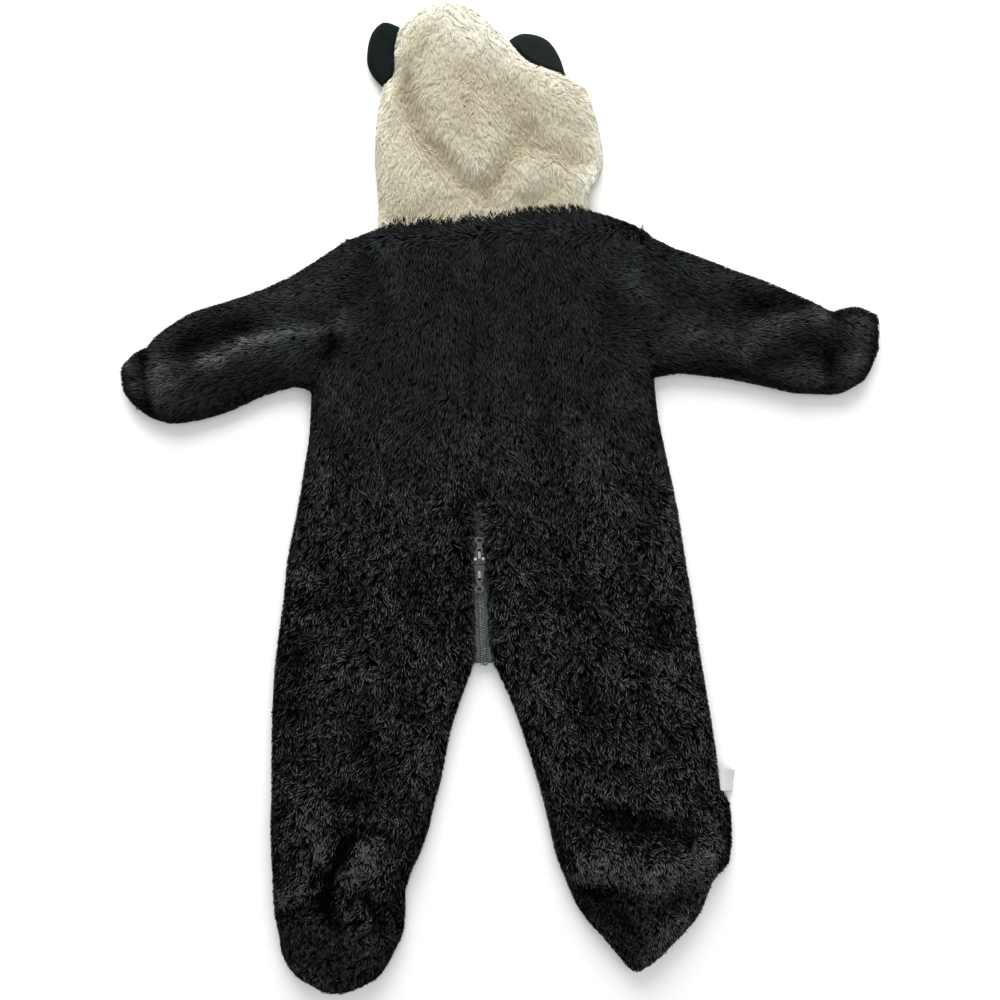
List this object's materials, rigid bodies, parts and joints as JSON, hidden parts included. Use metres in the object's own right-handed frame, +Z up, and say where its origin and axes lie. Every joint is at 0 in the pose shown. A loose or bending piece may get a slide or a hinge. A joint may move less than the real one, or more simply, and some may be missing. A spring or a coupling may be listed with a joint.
{
  "type": "baby panda onesie",
  "caption": "Hooded, footed plush costume for a baby, laid flat with its back up: black body, cream hood, round ears, and a two-way zip down the back.",
  "frame": {"origin": "on the surface that the onesie lies on, under the middle of its bounding box", "axes": "+Y from the feet to the hood, along the garment; +X to the wearer's right, as the back is seen; +Z up, from the front panels on the surface to the back panels on top"},
  "size_m": [0.6613, 0.8672, 0.0435],
  "materials": {
    "plush_black": "long-pile black plush, brushed down the body and out along the sleeves",
    "plush_cream": "long-pile cream plush with fine strands",
    "velour_black": "short matt black velour",
    "zip_tape": "dark grey-green woven polyester tape",
    "zip_plastic": "dark nylon coil teeth",
    "zip_metal": "dark enamelled zinc with worn bright edges",
    "label_satin": "blank white satin ribbon"
  },
  "bodies": {
    "garment": {"back_left": "plush_black", "back_right": "plush_black", "front_left": "plush_black", "front_right": "plush_black", "sole_left": "plush_black", "sole_right": "plush_black", "instep_left": "plush_black", "instep_right": "plush_black", "sleeve_left": "plush_black", "sleeve_right": "plush_black", "hood_back_left": "plush_cream", "hood_back_right": "plush_cream", "hood_front_left": "plush_cream", "hood_front_right": "plush_cream", "ear_left": "velour_black", "ear_right": "velour_black", "tape_left": "zip_tape", "tape_right": "zip_tape", "chain_upper": "zip_plastic", "chain_lower": "zip_plastic", "slider_upper": "zip_metal", "slider_lower": "zip_metal", "care_label": "label_satin"},
    "pull_upper": {"pull_upper": "zip_metal"},
    "pull_lower": {"pull_lower": "zip_metal"}
  },
  "joints": [
    {"name": "pull_upper_hinge", "type": "hinge", "parent": "garment", "child": "pull_upper", "pos_m": [-0.0184, -0.05, 0.01625], "axis": [1, 0, 0], "range_deg": [0, 110]},
    {"name": "pull_lower_hinge", "type": "hinge", "parent": "garment", "child": "pull_lower", "pos_m": [-0.0184, -0.067, 0.01625], "axis": [-1, 0, 0], "range_deg": [0, 110]}
  ]
}
